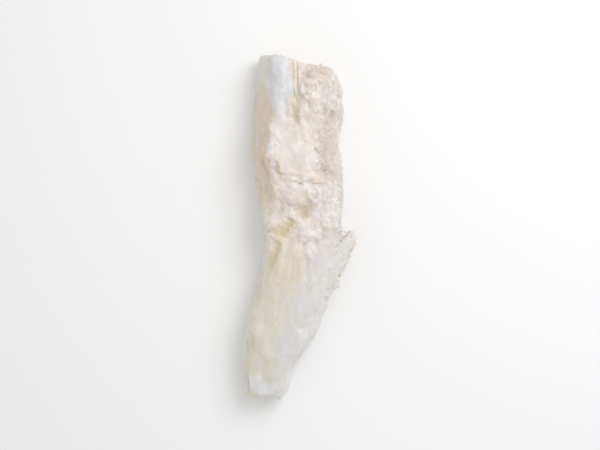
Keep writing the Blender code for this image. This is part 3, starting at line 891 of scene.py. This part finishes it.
def makeFlakes(ground):
    zones = ground.zones
    weights = zones.torn ** 3 * ramp(-0.1, 0.4, zones.upward) * (1 - zones.crest) * (1 - zones.gap)
    weights *= ramp(-8, -2, ground.points[:, 1])
    weights *= (1 - 0.95 * zones.calmWall) * (0.03 + zones.right * (1 - 0.7 * zones.up))
    rows = joined(namedRows(ground, namedFlakes), scattered(ground, weights, flakes))
    return sheetPieces("looseFlakes", ground, rows, flakes)


shreds = {"count": 200, "length": (1.6, 6.0), "width": (0.3, 0.9), "thickness": (0.14, 0.28),
          "lift": (0.1, 0.8), "fewLarge": 1.6, "turn": 10, "spread": 50, "bend": 0.35, "rags": 0.25,
          "taper": 0.5, "round": 0.5, "buried": 0.4, "sunk": 0.0, "evening": 1, "steps": 9, "lanes": 3,
          "thinTip": 0.6, "thinRim": 0.5, "leastThick": 0.0, "whiten": 0.6, "seed": 12}


def makeShreds(ground):
    zones = ground.zones
    y = ground.points[:, 1]
    margin = zones.margin * (zones.upward > -0.3)
    weights = margin * (0.15 + zones.frayed) * (0.35 + zones.right) * (1 - 0.9 * zones.calmWall)
    weights += 0.6 * margin * ramp(-68, -76, y)
    return sheetPieces("tornShreds", ground, scattered(ground, weights, shreds), shreds)


# What the threads and the fuzz share: as they aren't flat, no sides to taper, round off or sink
thread = {"lanes": 1, "taper": 0, "round": 0, "sunk": 0, "evening": 0, "thinTip": 0.65, "whiten": 0.5}
threads = {**thread, "count": 150, "length": (2.5, 8.0), "width": (0.2, 0.3), "thickness": (0.1, 0.2),
           "lift": (0.05, 0.9), "fewLarge": 2.2, "turn": 5, "spread": 42, "bend": 0.3, "rags": 0.12,
           "buried": 0.25, "steps": 9, "seed": 13}
# Single threads that stand out
namedThreads = table(
    "root tip width thickness lift",
    ((-14.2, 37.4), (-22.6, 34.8), 0.3, 0.42, 1),
    ((22, -7), (25.6, -2.4), 0.3, 0.30, 0.6),
    ((21, -12), (25, -13.8), 0.3, 0.26, 0.5),
)


def makeThreads(ground):
    zones = ground.zones
    weights = (0.06 + zones.torn) * ramp(-0.35, 0.2, zones.upward) * (1 - 0.95 * zones.crest)
    weights *= (0.15 + zones.right) * (1 - 0.9 * zones.calmWall) * (1 - 0.8 * zones.up)
    rows = joined(namedRows(ground, namedThreads), scattered(ground, weights, threads))
    return threadPieces("looseThreads", ground, rows, threads)


fuzz = {**thread, "count": 3600, "length": (0.5, 2.6), "width": (0.1, 0.1), "thickness": (0.1, 0.2),
        "lift": (0.1, 0.9), "fewLarge": 1.8, "turn": 0, "spread": 80, "bend": 0.4, "rags": 0.1,
        "buried": 0.2, "steps": 5, "seed": 15}


def makeFuzz(ground):
    # short soft ends of torn fibre, thickest along the right margin and the wing
    zones = ground.zones
    margin = bell(0.3, 0.5, zones.upward) * (zones.upward > -0.35)
    weights = zones.torn ** 2 * (0.05 + 1.6 * margin * zones.right + 0.25 * zones.grainy)
    weights *= ramp(-0.4, 0.1, zones.upward) * (1 - zones.crest) * (1 - zones.gap)
    weights *= 1 - 0.97 * zones.calmWall
    return threadPieces("fineFuzz", ground, scattered(ground, weights, fuzz), fuzz)


crumbs = {"count": 160, "size": (0.3, 0.6), "fewLarge": 2.2, "sunk": 0.4, "squash": (0.6, 1.1),
          "flat": 0.6, "lumps": 0.35, "lowest": 0.2, "whiten": 0.5, "wetness": 0.4, "seed": 14}


def makeCrumbs(ground):
    # torn grains of flesh, each a lumpy ball half sunk in what it lies on
    draw = np.random.default_rng(crumbs["seed"])
    zones = ground.zones
    weights = zones.grainy * (0.2 + zones.right) * ramp(0, 0.3, zones.upward)
    seeds = pickPoints(draw, weights, crumbs["count"])
    bpy.ops.mesh.primitive_ico_sphere_add(subdivisions=2, radius=1)
    ball = bpy.context.object
    shape = np.array([vertex.co for vertex in ball.data.vertices])
    faces = np.array([polygon.vertices[:] for polygon in ball.data.polygons])
    bpy.data.objects.remove(ball, do_unlink=True)
    size = between(draw, crumbs, "size")
    least, most = crumbs["squash"]
    squash = (least + (most - least) * draw.random((len(seeds), 1, 3))) * (1, 1, crumbs["flat"])
    lumps = 1 + crumbs["lumps"] * draw.normal(0, 0.5, (len(seeds), len(shape), 1))
    middles = ground.points[seeds] - ground.normals[seeds] * (crumbs["sunk"] * size / 2)[:, None]
    points = middles[:, None] + shape[None] * squash * lumps * size[:, None, None] / 2
    points = points.reshape(-1, 3)
    points[:, 2] = np.maximum(points[:, 2], crumbs["lowest"])
    piece = newPiece("crumbs", points, repeatedFaces(faces, len(seeds), len(shape)))
    colours = mixed(ground.colours[seeds], "snow", crumbs["whiten"])
    paintPoints(piece.data, np.repeat(colours, len(shape), axis=0), crumbs["wetness"])
    return piece


# Materials
def newGroup(name, inputs, outputs):
    # a group whose sockets all carry plain numbers
    group = bpy.data.node_groups.new(name, "ShaderNodeTree")
    for socketName, value in inputs.items():
        socket = group.interface.new_socket(socketName, in_out="INPUT", socket_type="NodeSocketFloat")
        socket.default_value = value
    for socketName in outputs:
        group.interface.new_socket(socketName, in_out="OUTPUT", socket_type="NodeSocketFloat")
    return group, group.nodes.new("NodeGroupInput"), group.nodes.new("NodeGroupOutput")


def fillInputs(node, values):
    # an input takes a plain value, or is joined to the output that is given for it
    for socket, value in values.items():
        if isinstance(value, bpy.types.NodeSocket):
            node.id_data.links.new(value, node.inputs[socket])
        else:
            node.inputs[socket].default_value = value


def addNode(nodes, kind, values=None, **settings):
    node = nodes.new("ShaderNode" + kind)
    for setting, value in settings.items():
        setattr(node, setting, value)
    fillInputs(node, values or {})
    return node


def makeFibreGrain():
    # fine strands along the strip and a slow milky drift, as a height and a mask
    sizes = {"Strand Size": 900.0, "Drift Size": 160.0}
    group, inside, out = newGroup("fibreGrain", sizes, ("Height", "Milk"))
    nodes, fine, slow = group.nodes, inside.outputs["Strand Size"], inside.outputs["Drift Size"]
    where = addNode(nodes, "TexCoord").outputs["Object"]
    stretch = addNode(nodes, "Mapping", {"Vector": where, "Scale": (1.0, 0.14, 1.0)})
    strands = addNode(nodes, "TexNoise", {"Vector": stretch.outputs["Vector"], "Scale": fine,
                                          "Detail": 4, "Roughness": 0.6, "Distortion": 0.4})
    grains = addNode(nodes, "TexNoise", {"Vector": where, "Scale": fine, "Detail": 3})
    both = addNode(nodes, "Math", {0: strands.outputs["Fac"], 1: grains.outputs["Fac"]}, operation="ADD")
    drift = addNode(nodes, "TexNoise", {"Vector": where, "Scale": slow, "Detail": 5, "Roughness": 0.62})
    spread = addNode(nodes, "MapRange", {"Value": drift.outputs["Fac"], "From Min": 0.35, "From Max": 0.65})
    fillInputs(out, {"Height": both.outputs[0], "Milk": spread.outputs["Result"]})
    return group


def makeWetMaterial(name, grain, look):
    # milky flesh that the light goes into, under a thin coat of water
    material = bpy.data.materials.new(name)
    material.use_nodes = True
    nodes = material.node_tree.nodes
    tint = addNode(nodes, "Attribute", attribute_name="tint")
    wet = addNode(nodes, "Attribute", attribute_name="wetness")
    fibre = addNode(nodes, "Group", node_tree=grain)
    fillInputs(fibre, {"Strand Size": look["strandSize"], "Drift Size": look["driftSize"]})
    mottled = addNode(nodes, "Math", {0: fibre.outputs["Milk"], 1: look["mottle"]}, operation="MULTIPLY")
    colourA, colourB, colourOut = 6, 7, 2   # where the mix node has its sockets for colours
    mottle = addNode(nodes, "Mix", data_type="RGBA", blend_type="MULTIPLY")
    fillInputs(mottle, {"Factor": mottled.outputs[0], colourA: tint.outputs["Color"],
                        colourB: (*look["shade"], 1)})
    rough = addNode(nodes, "MapRange", {"Value": wet.outputs["Fac"], "To Min": look["dry"],
                                        "To Max": look["wet"]})
    bump = addNode(nodes, "Bump", {"Height": fibre.outputs["Height"], "Strength": look["bump"],
                                   "Distance": look["bumpHeight"]})
    fillInputs(nodes["Principled BSDF"], {
        "Base Color": mottle.outputs[colourOut], "Roughness": rough.outputs["Result"],
        "Normal": bump.outputs["Normal"], "IOR": 1.4, "Subsurface Weight": look["subsurface"],
        "Subsurface Scale": look["depth"], "Subsurface Radius": (1.0, 0.86, 0.72),
        "Coat Weight": look["coat"], "Coat Roughness": 0.2, "Coat IOR": 1.34})
    print("material:", name)
    return material


fleshLook = {"strandSize": 900.0, "driftSize": 160.0, "shade": srgb(245, 241, 235), "mottle": 0.6,
             "dry": 0.52, "wet": 0.26, "bump": 0.25, "bumpHeight": 0.25 * mm, "subsurface": 0.7,
             "depth": 2.5 * mm, "coat": 0.25}
thinLook = {"strandSize": 1300.0, "driftSize": 300.0, "shade": srgb(247, 244, 240), "mottle": 0.5,
            "dry": 0.55, "wet": 0.4, "bump": 0.1, "bumpHeight": 0.25 * mm, "subsurface": 0.0,
            "depth": 0.5 * mm, "coat": 0.1}


# Stage, light and camera
stageLook = {"floor": srgb(250, 250, 250), "floorSize": 4, "sky": 0.66}
lamps = table(
    "name place size energy",
    ("key", (0.26, 0.22, 0.42), 0.32, 1.22),
    ("fill", (-0.4, -0.25, 0.35), 0.4, 0.12),
)
cameraSetup = {"elevation": 84, "lens": 70, "frameHeight": 211 * mm, "aim": (0, 0, 10 * mm),
               "photoWidth": 600, "photoHeight": 450}


def makeStage():
    bpy.ops.mesh.primitive_plane_add(size=stageLook["floorSize"])
    floor = bpy.context.object
    floor.name = "floor"
    material = bpy.data.materials.new("paleFloor")
    material.use_nodes = True
    shader = material.node_tree.nodes["Principled BSDF"]
    fillInputs(shader, {"Base Color": (*stageLook["floor"], 1), "Roughness": 0.8})
    floor.data.materials.append(material)


def makeLight():
    world = bpy.data.worlds.new("softStudio")
    world.use_nodes = True
    fillInputs(world.node_tree.nodes["Background"], {"Strength": stageLook["sky"], "Color": (1, 1, 1, 1)})
    scene.world = world
    for lamp in lamps:
        data = bpy.data.lights.new(lamp["name"], "AREA")
        data.size = lamp["size"]
        data.energy = lamp["energy"]
        light = addObject(lamp["name"], data)
        light.location = lamp["place"]
        light.rotation_euler = (-Vector(lamp["place"])).to_track_quat("-Z", "Y").to_euler()
    scene.view_settings.view_transform = "Standard"


def makeCamera():
    data = bpy.data.cameras.new("camera")
    data.lens = cameraSetup["lens"]
    camera = addObject("camera", data)
    scene.camera = camera
    halfSensor = data.sensor_width / 2 * cameraSetup["photoHeight"] / cameraSetup["photoWidth"]
    distance = cameraSetup["frameHeight"] / 2 * data.lens / halfSensor
    angle = math.radians(cameraSetup["elevation"])
    back = Vector((0, -math.cos(angle), math.sin(angle)))
    camera.location = Vector(cameraSetup["aim"]) + back * distance
    camera.rotation_euler = (-back).to_track_quat("-Z", "Y").to_euler()


# Put together
grain = makeFibreGrain()
wetFlesh = makeWetMaterial("wetFlesh", grain, fleshLook)
thinFlesh = makeWetMaterial("thinFlesh", grain, thinLook)

fleshPiece, ground = makeFlesh()
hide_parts("cod_strip")
fleshPiece.data.materials.append(wetFlesh)
makers = (makeLips, makeFlakes, makeShreds, makeThreads, makeFuzz, makeCrumbs)
loosePieces = [make(ground) for make in makers]
for piece in loosePieces:
    piece.data.materials.append(thinFlesh)
for piece in [fleshPiece, *loosePieces]:
    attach(piece, "root")

makeStage()
makeLight()
makeCamera()
print("stage, light and camera made")
